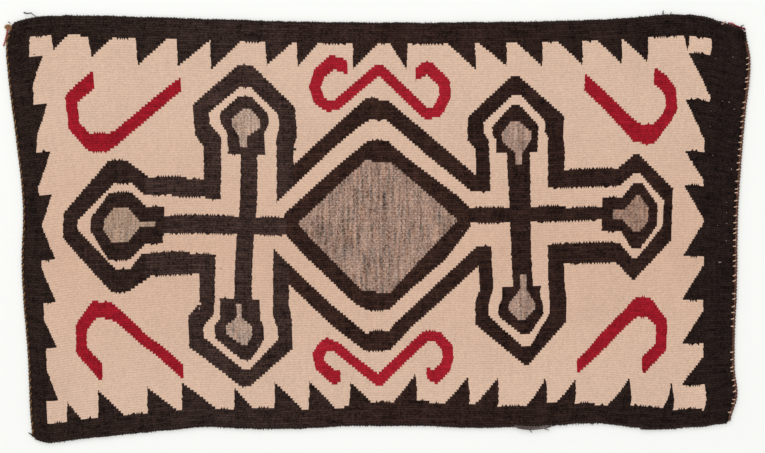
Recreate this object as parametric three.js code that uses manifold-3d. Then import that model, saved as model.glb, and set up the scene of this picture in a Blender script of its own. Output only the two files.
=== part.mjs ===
// A handwoven wool rug in tapestry weave, lying flat, with the cords along its four edges
// and the remains of the yarn ties at two of its corners.
// Millimetres, +Z up. Warps run along X, each under a rib of weft, and the weft runs along Y.
// The origin is on the surface that the rug lies on, below the middle of its box.
import * as THREE from 'three';
import Module from 'manifold-3d';
import { mergeVertices } from 'three/addons/utils/BufferGeometryUtils.js';

// Driving dimensions
const WARPS = 168;
const CREST_THICKNESS = 4.0;
const VALLEY_THICKNESS = 3.2;
const LEFT_END_CORD = 4.5;
const RIGHT_END_CORD = 5.5;
const SIDE_CORD = 4.4;
const CORD_GAP = 0.4;
const CORD_END_GAP = 0.5;
const TIE_YARN = 3.0;

// Where the weaving stops along each edge. The sides bow and waver as the weft pulled them in.
const TOP_EDGE = [
  { x: -609.5, y: 330.5 }, { x: -588, y: 341 }, { x: -530, y: 348 }, { x: -363, y: 345 },
  { x: -97, y: 337.2 }, { x: 170, y: 337.2 }, { x: 403, y: 343.3 }, { x: 490, y: 350.2 },
  { x: 543, y: 346.2 }, { x: 573, y: 337.4 }, { x: 609, y: 327 },
];
const BOTTOM_EDGE = [
  { x: -573.5, y: -352 }, { x: -547, y: -358.2 }, { x: -495, y: -351.2 }, { x: -382, y: -340.2 },
  { x: -297, y: -332.2 }, { x: -197, y: -335.2 }, { x: 3, y: -329.2 }, { x: 203, y: -332.4 },
  { x: 303, y: -328.4 }, { x: 370, y: -326.2 }, { x: 462, y: -335.2 }, { x: 540, y: -330.8 },
  { x: 584, y: -325.5 },
];
const LEFT_EDGE = [
  { x: -573.5, y: -352 }, { x: -576, y: -320 }, { x: -581.3, y: -207 }, { x: -588.4, y: -118 },
  { x: -591, y: -60 }, { x: -588.6, y: 23 }, { x: -592, y: 75 }, { x: -603, y: 167 },
  { x: -612, y: 237 }, { x: -616, y: 307 }, { x: -609.5, y: 330.5 },
];
const RIGHT_EDGE = [
  { x: 584, y: -325.5 }, { x: 595, y: -282 }, { x: 591, y: -240 }, { x: 591, y: -173 },
  { x: 594, y: -110 }, { x: 596, y: 15 }, { x: 599.6, y: 80 }, { x: 609, y: 190 },
  { x: 615.6, y: 247 }, { x: 616.4, y: 280 }, { x: 609, y: 327 },
];

// The corner ties: a knot in the corner, the yarn's loose end beside an edge, and how far the two
// cords stop short of the corner to leave room for the knot. Places are counted from the corner.
const LEFT_TIE = {
  corner: TOP_EDGE[0],
  knot: { dx: -6.1, dy: 0.4, length: 11, width: 7.4, height: 5.4 },
  looseEnd: [
    { dx: -7.5, dy: -0.5 }, { dx: -11.6, dy: -10.5 }, { dx: -13.6, dy: -20.5 }, { dx: -16.4, dy: -30.5 },
  ],
  endCordGap: 6,
  sideCordGap: 1.5,
};
const RIGHT_TIE = {
  corner: TOP_EDGE[TOP_EDGE.length - 1],
  knot: { dx: 1.6, dy: 4.8, length: 7.4, width: 7, height: 5 },
  looseEnd: [
    { dx: 0.5, dy: 6 }, { dx: -7, dy: 9.2 }, { dx: -15.9, dy: 12.2 }, { dx: -25.5, dy: 15.6 },
  ],
  endCordGap: 2.5,
  sideCordGap: 4,
};

// The outline of a knot, as shares of its half width and of its height
const KNOT_PROFILE = [
  { out: 0, up: 0 }, { out: 0.8, up: 0 }, { out: 1, up: 0.3 }, { out: 0.9, up: 0.7 },
  { out: 0.5, up: 0.96 }, { out: 0, up: 1 },
];

// How finely the forms are faceted
const WARP_STEPS = 14;
const WEFT_STEPS = 40;
const CORD_SIDES = 8;
const KNOT_SIDES = 10;
const TIE_SIDES = 4;
const TIE_STEPS = 10;

const WOOL = {
  weaving: { color: 0xd7b39a, roughness: 0.95, metalness: 0 },
  sideCord: { color: 0x30241f, roughness: 0.95, metalness: 0 },
  leftEndCord: { color: 0x5c4630, roughness: 0.9, metalness: 0 },
  rightEndCord: { color: 0x5a3f33, roughness: 0.9, metalness: 0 },
  leftTie: { color: 0x9a6a42, roughness: 0.9, metalness: 0 },
  rightTie: { color: 0x8c2a33, roughness: 0.9, metalness: 0 },
};

const wasm = await Module();
wasm.setup();

// Stations from 0 to 1 that crowd towards both ends, where the corners round off.
function crowded(step, steps) {
  return (1 - Math.cos(Math.PI * step / steps)) / 2;
}

// A point of an edge, a share of the way along it, with the long axis of the edge as its rule.
function edgeCurve(table, along, across) {
  const first = table[0][along];
  const last = table[table.length - 1][along];
  const curve = new THREE.CubicInterpolant(
    table.map((row) => row[along]), table.map((row) => row[across]), 1);
  return (share) => {
    const position = first + (last - first) * share;
    const offset = curve.evaluate(position)[0];
    return along === 'x' ? new THREE.Vector2(position, offset) : new THREE.Vector2(offset, position);
  };
}

const top = edgeCurve(TOP_EDGE, 'x', 'y');
const bottom = edgeCurve(BOTTOM_EDGE, 'x', 'y');
const left = edgeCurve(LEFT_EDGE, 'y', 'x');
const right = edgeCurve(RIGHT_EDGE, 'y', 'x');

// Where warp and weft cross: u is the share of the way along the warp, v the share of the way
// across the ribs. The weaving is eased between its four edges.
function woven(u, v) {
  const between = bottom(u).multiplyScalar(1 - v).addScaledVector(top(u), v)
    .addScaledVector(left(v), 1 - u).addScaledVector(right(v), u);
  const corners = bottom(0).multiplyScalar((1 - u) * (1 - v)).addScaledVector(bottom(1), u * (1 - v))
    .addScaledVector(top(0), (1 - u) * v).addScaledVector(top(1), u * v);
  return between.sub(corners);
}

// Stations along the warp and across it, and the rows over the ribs: valley, crest, valley and so on.
const warpStations = Array.from({ length: WARP_STEPS + 1 }, (_, step) => crowded(step, WARP_STEPS));
const weftStations = Array.from({ length: WEFT_STEPS + 1 }, (_, step) => crowded(step, WEFT_STEPS));
const ribRows = Array.from({ length: 2 * WARPS + 1 }, (_, row) => row / (2 * WARPS));

// The weaving: a ribbed upper face and a flat underside, closed by four rims.
function weavingGeometry() {
  const points = [];
  const triangles = [];
  const line = (v, height) => warpStations.map((u) => {
    const place = woven(u, v);
    points.push(place.x, place.y, height);
    return { index: points.length / 3 - 1, u, v };
  });
  // Triangles between two lines that run the same way, with the far one on the left of the near one.
  const stitch = (near, far, share) => {
    let i = 0;
    let j = 0;
    while (i < near.length - 1 || j < far.length - 1) {
      const farDone = j === far.length - 1;
      if (farDone || (i < near.length - 1 && near[i + 1][share] <= far[j + 1][share])) {
        triangles.push(near[i].index, near[i + 1].index, far[j].index);
        i += 1;
      } else {
        triangles.push(near[i].index, far[j + 1].index, far[j].index);
        j += 1;
      }
    }
  };
  const upper = ribRows.map((v, row) => line(v, row % 2 ? CREST_THICKNESS : VALLEY_THICKNESS));
  const lower = weftStations.map((v) => line(v, 0));
  for (let row = 1; row < upper.length; row += 1) stitch(upper[row - 1], upper[row], 'u');
  for (let row = 1; row < lower.length; row += 1) stitch(lower[row], lower[row - 1], 'u');
  stitch(lower[0], upper[0], 'u');
  stitch(upper[upper.length - 1], lower[lower.length - 1], 'u');
  const endOf = (rows, station) => rows.map((row) => row[station]);
  stitch(endOf(lower, WARP_STEPS), endOf(upper, WARP_STEPS), 'v');
  stitch(endOf(upper, 0), endOf(lower, 0), 'v');
  const geometry = new THREE.BufferGeometry();
  geometry.setAttribute('position', new THREE.Float32BufferAttribute(points, 3));
  geometry.setIndex(triangles);
  return geometry;
}

// A regular section with a flat below, so that what has it lies on the surface.
function roundSection(width, sides) {
  const reach = width / 2 / Math.cos(Math.PI / sides);
  const corners = [];
  for (let i = 0; i < sides; i += 1) {
    const angle = (i + 0.5) * 2 * Math.PI / sides;
    corners.push(new THREE.Vector2(reach * Math.cos(angle), reach * Math.sin(angle)));
  }
  return new THREE.Shape(corners);
}

// A line of points without a stretch at its start and one at its end.
function trimmed(line, startGap, endGap) {
  const lengths = [0];
  for (let i = 1; i < line.length; i += 1) lengths.push(lengths[i - 1] + line[i].distanceTo(line[i - 1]));
  const stop = lengths[lengths.length - 1] - endGap;
  const pointAt = (length) => {
    const i = lengths.findIndex((reached) => reached >= length);
    const share = (length - lengths[i - 1]) / (lengths[i] - lengths[i - 1]);
    return line[i - 1].clone().lerp(line[i], share);
  };
  const kept = line.filter((_, i) => lengths[i] > startGap && lengths[i] < stop);
  return [pointAt(startGap), ...kept, pointAt(stop)];
}

// A cord drawn along the outside of an edge, which is to the right of the way that its line runs.
function edgeCordGeometry(edge, diameter, startGap, endGap) {
  const line = trimmed(edge, startGap, endGap);
  const steps = line.length - 1;
  const geometry = new THREE.ExtrudeGeometry(
    roundSection(diameter, CORD_SIDES), { depth: 1, steps, bevelEnabled: false });
  const outward = line.map((point, i) => {
    const arriving = point.clone().sub(line[Math.max(i - 1, 0)]).normalize();
    const leaving = line[Math.min(i + 1, steps)].clone().sub(point).normalize();
    const heading = arriving.add(leaving).normalize();
    return new THREE.Vector2(heading.y, -heading.x);
  });
  const position = geometry.attributes.position;
  for (let i = 0; i < position.count; i += 1) {
    const station = Math.round(position.getZ(i) * steps);
    const out = CORD_GAP + diameter / 2 - position.getX(i);
    const place = line[station].clone().addScaledVector(outward[station], out);
    position.setXYZ(i, place.x, place.y, diameter / 2 + position.getY(i));
  }
  return geometry;
}

// A closed mesh as a solid that can be joined.
function solid(geometry) {
  const bare = geometry.clone();
  bare.deleteAttribute('normal');
  bare.deleteAttribute('uv');
  const merged = mergeVertices(bare, 1e-4);
  const index = merged.index.array;
  const triangles = [];
  for (let i = 0; i < index.length; i += 3) {
    const [a, b, c] = [index[i], index[i + 1], index[i + 2]];
    if (a !== b && b !== c && c !== a) triangles.push(a, b, c);
  }
  return new wasm.Manifold(new wasm.Mesh({
    numProp: 3,
    vertProperties: new Float32Array(merged.attributes.position.array),
    triVerts: new Uint32Array(triangles),
  }));
}

function geometryOf(body) {
  const mesh = body.getMesh();
  const geometry = new THREE.BufferGeometry();
  geometry.setAttribute('position', new THREE.BufferAttribute(new Float32Array(mesh.vertProperties), 3));
  geometry.setIndex(new THREE.BufferAttribute(new Uint32Array(mesh.triVerts), 1));
  return geometry;
}

// A knot of tie yarn with a flat below, and the loose end that lies beside the edge.
function tieGeometry({ corner, knot, looseEnd }) {
  const dome = new THREE.LatheGeometry(
    KNOT_PROFILE.map((row) => new THREE.Vector2(row.out, row.up)), KNOT_SIDES);
  dome.rotateX(Math.PI / 2);
  dome.scale(knot.length / 2, knot.width / 2, knot.height);
  dome.translate(corner.x + knot.dx, corner.y + knot.dy, 0);
  const route = new THREE.CatmullRomCurve3(
    looseEnd.map((row) => new THREE.Vector3(corner.x + row.dx, corner.y + row.dy, TIE_YARN / 2)));
  const strand = new THREE.ExtrudeGeometry(
    roundSection(TIE_YARN, TIE_SIDES), { steps: TIE_STEPS, extrudePath: route });
  return geometryOf(solid(dome).add(solid(strand)));
}

// The four edges in turn, anticlockwise from above, so that outside is always to the right.
const bottomLine = warpStations.map((u) => woven(u, 0));
const rightLine = weftStations.map((v) => woven(1, v));
const topLine = warpStations.map((u) => woven(u, 1)).reverse();
const leftLine = weftStations.map((v) => woven(0, v)).reverse();

function piece(name, geometry, wool) {
  const mesh = new THREE.Mesh(geometry, new THREE.MeshStandardMaterial(wool));
  mesh.name = name;
  return mesh;
}

const laid = new THREE.Group();
laid.add(
  piece('rug_panel', weavingGeometry(), WOOL.weaving),
  piece('side_cord_top', edgeCordGeometry(
    topLine, SIDE_CORD, RIGHT_TIE.sideCordGap, LEFT_TIE.sideCordGap), WOOL.sideCord),
  piece('side_cord_bottom', edgeCordGeometry(
    bottomLine, SIDE_CORD, CORD_END_GAP, CORD_END_GAP), WOOL.sideCord),
  piece('end_cord_left', edgeCordGeometry(
    leftLine, LEFT_END_CORD, LEFT_TIE.endCordGap, CORD_END_GAP), WOOL.leftEndCord),
  piece('end_cord_right', edgeCordGeometry(
    rightLine, RIGHT_END_CORD, CORD_END_GAP, RIGHT_TIE.endCordGap), WOOL.rightEndCord),
  piece('corner_tie_top_left', tieGeometry(LEFT_TIE), WOOL.leftTie),
  piece('corner_tie_top_right', tieGeometry(RIGHT_TIE), WOOL.rightTie),
);

// The origin goes below the middle of the box.
const box = new THREE.Box3().setFromObject(laid);
laid.position.set(-(box.min.x + box.max.x) / 2, -(box.min.y + box.max.y) / 2, -box.min.z);

const rug = new THREE.Group();
rug.add(laid);
export default rug;
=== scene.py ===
import bisect
import math
import random
from collections import namedtuple

import bmesh
import bpy
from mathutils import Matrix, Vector


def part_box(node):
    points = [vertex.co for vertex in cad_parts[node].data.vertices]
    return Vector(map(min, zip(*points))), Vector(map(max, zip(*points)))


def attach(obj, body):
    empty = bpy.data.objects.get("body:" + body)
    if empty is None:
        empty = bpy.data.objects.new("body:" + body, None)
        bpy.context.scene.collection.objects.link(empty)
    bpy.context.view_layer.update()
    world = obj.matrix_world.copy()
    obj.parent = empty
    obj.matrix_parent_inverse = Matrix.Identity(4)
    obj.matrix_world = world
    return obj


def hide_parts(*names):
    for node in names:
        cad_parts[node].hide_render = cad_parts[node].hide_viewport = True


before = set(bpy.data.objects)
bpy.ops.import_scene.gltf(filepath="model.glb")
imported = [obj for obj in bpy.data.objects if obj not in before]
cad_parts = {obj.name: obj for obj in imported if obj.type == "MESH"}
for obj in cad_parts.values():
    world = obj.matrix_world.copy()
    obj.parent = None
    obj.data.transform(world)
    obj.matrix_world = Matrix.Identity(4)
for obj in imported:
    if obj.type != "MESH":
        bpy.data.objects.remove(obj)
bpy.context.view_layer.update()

# The studio
# The rug lies on a plain pale floor and is seen from straight above through a long lens, under
# soft light that comes a little more from beyond the far edge, so that the ribs just show.
MM = 0.001
VIEW_WIDTH = 1275 * MM
VIEW_CENTRE = (9.9 * MM, 3.6 * MM)
CAMERA_HEIGHT = 5.0
FLOOR_SIZE = 14.0
FLOOR_TONE = (0.955, 0.963, 0.931)

scene = bpy.context.scene
scene.view_settings.view_transform = "Standard"
scene.view_settings.look = "None"

camera_data = bpy.data.cameras.new("camera")
camera_data.sensor_width = 36
camera_data.lens = 36 * CAMERA_HEIGHT / VIEW_WIDTH
camera_data.clip_end = 50
camera = bpy.data.objects.new("camera", camera_data)
camera.location = (VIEW_CENTRE[0], VIEW_CENTRE[1], CAMERA_HEIGHT)
scene.collection.objects.link(camera)
scene.camera = camera

floor_bm = bmesh.new()
bmesh.ops.create_grid(floor_bm, x_segments=2, y_segments=2, size=FLOOR_SIZE / 2)
floor_mesh = bpy.data.meshes.new("floor")
floor_bm.to_mesh(floor_mesh)
floor_bm.free()
floor = bpy.data.objects.new("floor", floor_mesh)
scene.collection.objects.link(floor)
floor_finish = bpy.data.materials.new("pale floor")
floor_finish.use_nodes = True
floor_finish.node_tree.nodes["Principled BSDF"].inputs["Base Color"].default_value = (*FLOOR_TONE, 1)
floor_finish.node_tree.nodes["Principled BSDF"].inputs["Roughness"].default_value = 0.9
floor_mesh.materials.append(floor_finish)

Lamp = namedtuple("Lamp", "name place size power")
for lamp in (
    Lamp("overhead softbox", (0.0, 0.2, 5.4), 4.5, 118),
    Lamp("far softbox", (-1.6, 4.6, 3.4), 2.2, 52),
):
    light_data = bpy.data.lights.new(lamp.name, "AREA")
    light_data.size = lamp.size
    light_data.energy = lamp.power
    light = bpy.data.objects.new(lamp.name, light_data)
    light.location = lamp.place
    light.rotation_euler = Vector(lamp.place).to_track_quat("Z", "Y").to_euler()
    scene.collection.objects.link(light)

world = bpy.data.worlds.new("studio air")
world.use_nodes = True
world.node_tree.nodes["Background"].inputs["Color"].default_value = (1, 1, 1, 1)
world.node_tree.nodes["Background"].inputs["Strength"].default_value = 0.60
scene.world = world

# The woven panel
# One sheet of tapestry weave in handspun wool: 168 stiff warps run along it, each hidden in a rib
# of packed weft. The weaver pulled the sides in as the work went on, so every edge wavers.
WARPS = 168
COLUMNS = 190
CREST = 4.0 * MM
VALLEY = 3.2 * MM
BEAD = 2.0 * MM
HALF_BEAD = BEAD / 2
TOP_EDGE = [
    (-609.5, 336.5), (-588, 342.6), (-530, 348), (-363, 345), (-97, 337.2), (170, 337.2),
    (403, 343.3), (490, 350.2), (543, 346.2), (573, 337.4), (609, 327),
]
BOTTOM_EDGE = [
    (-573.5, -352), (-547, -358.2), (-495, -351.2), (-382, -340.2), (-297, -332.2), (-197, -335.2),
    (3, -329.2), (203, -332.4), (303, -328.4), (370, -326.2), (462, -335.2), (540, -330.8),
    (584, -325.5),
]
LEFT_EDGE = [
    (-573.5, -352), (-576, -320), (-581.3, -207), (-588.4, -118), (-591, -60), (-588.6, 23),
    (-592, 75), (-603, 167), (-612, 237), (-616, 310), (-609.5, 336.5),
]
RIGHT_EDGE = [
    (584, -325.5), (595, -282), (591, -240), (591, -173), (594, -110), (596, 15), (599.6, 80),
    (609, 190), (615.6, 247), (616.4, 280), (609, 327),
]


def edge_line(points):
    """A smooth line through points in their order: its other measure at each share of its run."""
    slopes = [(b[1] - a[1]) / (b[0] - a[0]) for a, b in zip(points, points[1:])]
    bends = [0] + [(s + t) / 2 for s, t in zip(slopes, slopes[1:])] + [0]

    def at(share):
        run = points[0][0] + (points[-1][0] - points[0][0]) * share
        i = 0
        while i < len(points) - 2 and run > points[i + 1][0]:
            i += 1
        (run_0, low), (run_1, high) = points[i], points[i + 1]
        step = run_1 - run_0
        t = (run - run_0) / step
        return run, (
            (2 * t**3 - 3 * t**2 + 1) * low + (t**3 - 2 * t**2 + t) * step * bends[i]
            + (3 * t**2 - 2 * t**3) * high + (t**3 - t**2) * step * bends[i + 1]
        )
    return at


top_line = edge_line(TOP_EDGE)
bottom_line = edge_line(BOTTOM_EDGE)
left_line = edge_line([(y, x) for x, y in LEFT_EDGE])
right_line = edge_line([(y, x) for x, y in RIGHT_EDGE])


def crossing(along, across):
    """Where a share of the way along the warps meets a share of the way across them, in mm."""
    low, high = Vector(bottom_line(along)), Vector(top_line(along))
    near, far = Vector(left_line(across)[::-1]), Vector(right_line(across)[::-1])
    eased = low * (1 - across) + high * across + near * (1 - along) + far * along
    low_pair = Vector(bottom_line(0)) * (1 - along) + Vector(bottom_line(1)) * along
    high_pair = Vector(top_line(0)) * (1 - along) + Vector(top_line(1)) * along
    return eased - low_pair * (1 - across) - high_pair * across


panel_low, panel_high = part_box("rug_panel")
RIM_STEPS = 400
rim = [crossing(i / RIM_STEPS, side) for i in range(RIM_STEPS + 1) for side in (0, 1)]
rim += [crossing(side, i / RIM_STEPS) for i in range(RIM_STEPS + 1) for side in (0, 1)]
shift = Vector((
    (panel_low.x + panel_high.x) / 2 / MM - (min(p.x for p in rim) + max(p.x for p in rim)) / 2,
    (panel_low.y + panel_high.y) / 2 / MM - (min(p.y for p in rim) + max(p.y for p in rim)) / 2,
))

# The chart
# Places on it are millimetres along the warps and ribs across them, both from the middle of the
# rug. Shapes are laid one over another in the order given, and some start past the rim.
CHART_ALONG = 609.5
CHART_ACROSS = 82.8
TOP_RIM_ROW, BOTTOM_RIM_ROW = 78, -79
LEFT_RIM, RIGHT_RIM = -600, 600
PAST_RIM = 2000
# Each tooth of the border has one side square to the rim and one that slopes, and stands on the
# line where the border's dark band meets the cream.
Tooth = namedtuple("Tooth", "upright tip tip_row slope")
TOP_BASE = [
    (-576, 76.3), (-480, 75.3), (-244, 74.6), (-128, 75.2), (11, 74.9), (86, 75.1), (180, 74.4),
    (367, 75), (514, 75.3), (556, 74.7),
]
BOTTOM_BASE = [
    (-586, -76.2), (-527, -76.4), (-480, -75.7), (-359, -75.7), (-188, -75.3), (-84, -75.9),
    (-12, -73.8), (58, -73.2), (158, -74.3), (225, -74.9), (283, -73.8), (395, -75.9), (466, -74.8),
    (563, -76.5),
]
LEFT_BASE = [
    (-573, 76.3), (-575, 68), (-573, 56), (-575, 50), (-577, 36.6), (-581, 31), (-584, 17.4),
    (-579, 1.5), (-578, -12), (-578, -28), (-579, -47), (-583, -67), (-583, -76.2),
]
RIGHT_BASE = [
    (552, 74.7), (546, 67), (552, 52), (552, 49), (549, 33), (552, 15), (556, 0.7), (556, -31),
    (559, -49), (558, -67), (560, -76.5),
]
TOP_TEETH = [
    Tooth(-538, -535, 69.6, -508), Tooth(-477, -472, 67, -434), Tooth(-399, -397, 64.0, -344),
    Tooth(-331, -331, 63.6, -277), Tooth(-276, -276, 62.8, -226), Tooth(-185, -184, 65.4, -138),
    Tooth(-133, -133, 65, -96), Tooth(-41, -42, 64.5, 2), Tooth(50, 46, 64.2, 20),
    Tooth(161, 161, 63.7, 117), Tooth(213, 211, 65.2, 170), Tooth(272, 270, 64.7, 231),
    Tooth(338, 336, 64.9, 297), Tooth(403, 401, 64.8, 362), Tooth(447, 443, 65, 404),
    Tooth(516, 509, 68.3, 506),
]
BOTTOM_TEETH = [
    Tooth(-550, -547, -68.3, -522), Tooth(-495, -493, -64.9, -450), Tooth(-409, -408, -65.5, -358),
    Tooth(-349, -348, -64.8, -290), Tooth(-259, -257, -67, -225), Tooth(-189, -187, -64.4, -141),
    Tooth(-130, -127, -64.2, -82), Tooth(-59, -56, -65.1, -12), Tooth(58, 59, -61.9, 19),
    Tooth(149, 150, -62.6, 104), Tooth(199, 201, -63, 155), Tooth(284, 284, -63.5, 252),
    Tooth(333, 335, -64.7, 301), Tooth(430, 429, -63.6, 390), Tooth(505, 501, -64.8, 487),
]
SideTooth = namedtuple("SideTooth", "flat_row tip slope_row base")
LEFT_TEETH = [
    SideTooth(67.8, -552.5, 56, -576), SideTooth(49.5, -552.5, 36.6, -577),
    SideTooth(31, -556, 17.4, -583), SideTooth(14, -561, 1.5, -581), SideTooth(-11.8, -554, 1.5, -579),
    SideTooth(-28.7, -556, -14.7, -578), SideTooth(-46.8, -559.5, -35.2, -579),
    SideTooth(-66.8, -562.5, -53.3, -582),
]
RIGHT_TEETH = [
    SideTooth(67.8, 511, 52.2, 550), SideTooth(49.4, 512, 32.8, 550), SideTooth(29, 515, 16.9, 552),
    SideTooth(15.0, 518, 0.7, 556), SideTooth(-13.7, 521, 0.7, 556),
    SideTooth(-31.2, 520, -16.9, 556), SideTooth(-49, 522, -35.8, 558),
    SideTooth(-65.8, 519, -55.1, 558),
]
# The crosses and the diamond are worked in four layers: an outer dark outline, cream, an inner dark
# outline and grey. A head is the end of a cross's arm, with the stations along the arm at which its
# width changes and the pair of its sides at the neck, at the shoulder and at the point.
Head = namedtuple("Head", "yarn heading back neck start full end tip shoulder point")
OUTER_HEADS = [
    Head("left cross", "up", 32, (-298, -146), 31, 36, 48.2, 64.8, (-311, -139), (-233, -207)),
    Head("left cross", "down", -35, (-312, -157), -33, -38.2, -50.8, -65.9, (-332, -153), (-248, -229)),
    Head("left tip", "left", -401, (-21.1, 18.4), -392, -430, -461, -543, (-26.5, 25.7), (-3.8, 5.9)),
    Head("right cross", "up", 31, (161.5, 313), 31, 35, 44.3, 61.2, (148.5, 310), (220, 231)),
    Head("right cross", "right", 411, (-17, 22.1), 406, 432, 438, 500, (-23.2, 27.7), (-7.4, 13.4)),
    Head("right cross", "down", -27, (172, 318), -27, -30.6, -41, -57.7, (164, 321), (247, 257)),
]
CREAM_HEADS = [
    Head("cream", "up", 35.5, (-267, -174), 35.5, 40.5, 45.2, 56.3, (-284.5, -168), (-229, -213)),
    Head("cream", "down", -34, (-286, -185), -37, -42.4, -46.8, -59.3, (-306, -178), (-240, -230)),
    Head("cream", "left", -400, (-11.7, 12), -405, -427, -451, -518, (-17.6, 17.2), (-0.9, 2.6)),
    Head("cream", "up", 35, (184.5, 284), 35, 38, 42.2, 53.4, (176, 279), (224, 235)),
    Head("cream", "right", 412, (-8.8, 15.3), 412, 434, 441, 485, (-14.8, 20), (-1.5, 8.5)),
    Head("cream", "down", -26, (195, 290), -26, -33, -37.3, -49.8, (187, 292), (243, 260)),
]
INNER_HEADS = [
    Head("left cross", "up", 28.9, (-257, -194), 37.5, 41, 45.4, 52.6, (-266.5, -185.5), (-231, -213)),
    Head("left cross", "down", -30.8, (-276, -207), -38.5, -42, -47, -55.6, (-287, -202), (-241, -227)),
    Head("left tip", "left", -370, (-7.7, 6.6), -399, -426, -463, -496, (-13.9, 13.1), (-1.7, 3.4)),
    Head("right cross", "up", 29.6, (197, 267), 34.8, 37, 40.5, 48.9, (190, 268), (221, 236)),
    Head("right cross", "right", 380, (-4.3, 10), 414, 433, 446, 475, (-11.2, 16.2), (-1.5, 7)),
    Head("right cross", "down", -25.4, (210, 276), -30.5, -33.5, -37.6, -45.7, (204, 281), (245, 257)),
]
GREY_HEADS = [
    Head("pale left grey", "up", 31.3, (-236, -224), 35.8, 39.8, 43.2, 47.3, (-247, -200), (-225, -215)),
    Head(
        "pale left grey", "down", -32.7, (-247, -238), -38.3, -41.5, -45, -49.2, (-267, -222),
        (-240, -232),
    ),
    Head("left grey", "left", -385, (-1.3, 1.3), -412, -431, -458, -473, (-6.9, 6.5), (-1.9, 2.1)),
    Head("pale right grey", "up", 24.7, (230, 241), 29.3, 34.5, 37.9, 42.8, (206.5, 256), (223, 233)),
    Head("right grey", "right", 399, (0.5, 4.5), 417, 438, 444, 459, (-4.4, 10.6), (0, 6)),
    Head("pale right grey", "down", -20.3, (241, 252), -27, -32.8, -34.9, -39.4, (221, 267), (239, 249)),
]
Upright = namedtuple("Upright", "yarn top_row top bottom_row bottom")
OUTER_UPRIGHTS = [
    Upright("left cross", 32, (-298, -146), -35, (-311, -157)),
    Upright("right cross", 31, (161.5, 313), -27, (172, 318)),
]
CREAM_UPRIGHTS = [
    Upright("cream", 35.5, (-267, -174), -37.5, (-286, -185)),
    Upright("cream", 35, (184.5, 284), -26, (195, 290)),
]
INNER_UPRIGHTS = [
    Upright("left cross", 30, (-235.5, -207), -31, (-250.5, -220.5)),
    Upright("right cross", 30.6, (214.5, 254), -10, (226, 260)),
    Upright("right cross", -10, (226, 260), -26, (229, 263)),
]
Bar = namedtuple("Bar", "yarn start start_rows end end_rows")
OUTER_BARS = [
    Bar("left cross", -402, (-21.1, 18.4), -228, (-21.1, 18)),
    Bar("right cross", 238, (-17, 22.1), 412, (-17, 22.1)),
]
CREAM_BARS = [
    Bar("cream", -401, (-12.1, 12.1), -228, (-12.6, 9.1)),
    Bar("cream", 238, (-8.5, 15.1), 413, (-8.9, 15.1)),
    Bar("cream", 150, (-8.5, 14.2), 318, (-8.5, 14.6)),
]
INNER_BARS = [
    Bar("left cross", -371, (-4.3, 2.7), -160, (-4.1, 2.8)),
    Bar("right cross", 150, (0.5, 6.4), 196, (1.0, 7.2)),
    Bar("right cross", 196, (1.0, 7.2), 381, (0.7, 6.0)),
]
# Each side of a lozenge is given by its knots from left to right, over the top and underneath.
Lozenge = namedtuple("Lozenge", "yarn over under")
OUTER_LOZENGE = Lozenge(
    "diamond", [(-257, 0.6), (-22, 52.0), (14, 51.6), (255, 1.2)],
    [(-257, 0), (-128, -31), (-81, -42.4), (-50, -48.3), (-29, -52.4), (15, -52.4), (58, -41.6),
     (80, -37), (255, 2)],
)
CREAM_LOZENGE = Lozenge(
    "cream",
    [(-218, 0.2), (-126, 20.8), (-80, 31.1), (-34, 40.3), (-15, 43.3), (13, 43), (80, 28.6), (215, 2)],
    [(-221, 0), (-128, -22.4), (-81, -33.6), (-50, -39.9), (-26, -45), (16, -44), (27, -40.6),
     (60, -33.2), (215, 2)],
)
INNER_LOZENGE = Lozenge(
    "diamond",
    [(-165, 4.6), (-80, 22.8), (-23, 33.9), (-17, 34.8), (12, 34.8), (50, 26.7), (133, 11.8),
     (155.5, 6.6)],
    [(-165, -3), (-128, -12.6), (-81, -23.8), (-46, -32.4), (-25, -35.4), (15, -35.6), (57, -26.1),
     (75, -22.6), (112, -14.8), (135, -7.6), (155.5, -0.6)],
)
GREY_LOZENGE = Lozenge(
    "middle grey", [(-139, 1.2), (-72, 16.2), (-25, 26.2), (17, 25.9), (132, 2.1)],
    [(-139, 0), (-28, -28), (19, -28.2), (132, 1.5)],
)
Layer = namedtuple("Layer", "lozenge heads uprights bars")
LAYERS = [
    Layer(OUTER_LOZENGE, OUTER_HEADS, OUTER_UPRIGHTS, OUTER_BARS),
    Layer(CREAM_LOZENGE, CREAM_HEADS, CREAM_UPRIGHTS, CREAM_BARS),
    Layer(INNER_LOZENGE, INNER_HEADS, INNER_UPRIGHTS, INNER_BARS),
    Layer(GREY_LOZENGE, GREY_HEADS, [], []),
]
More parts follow.
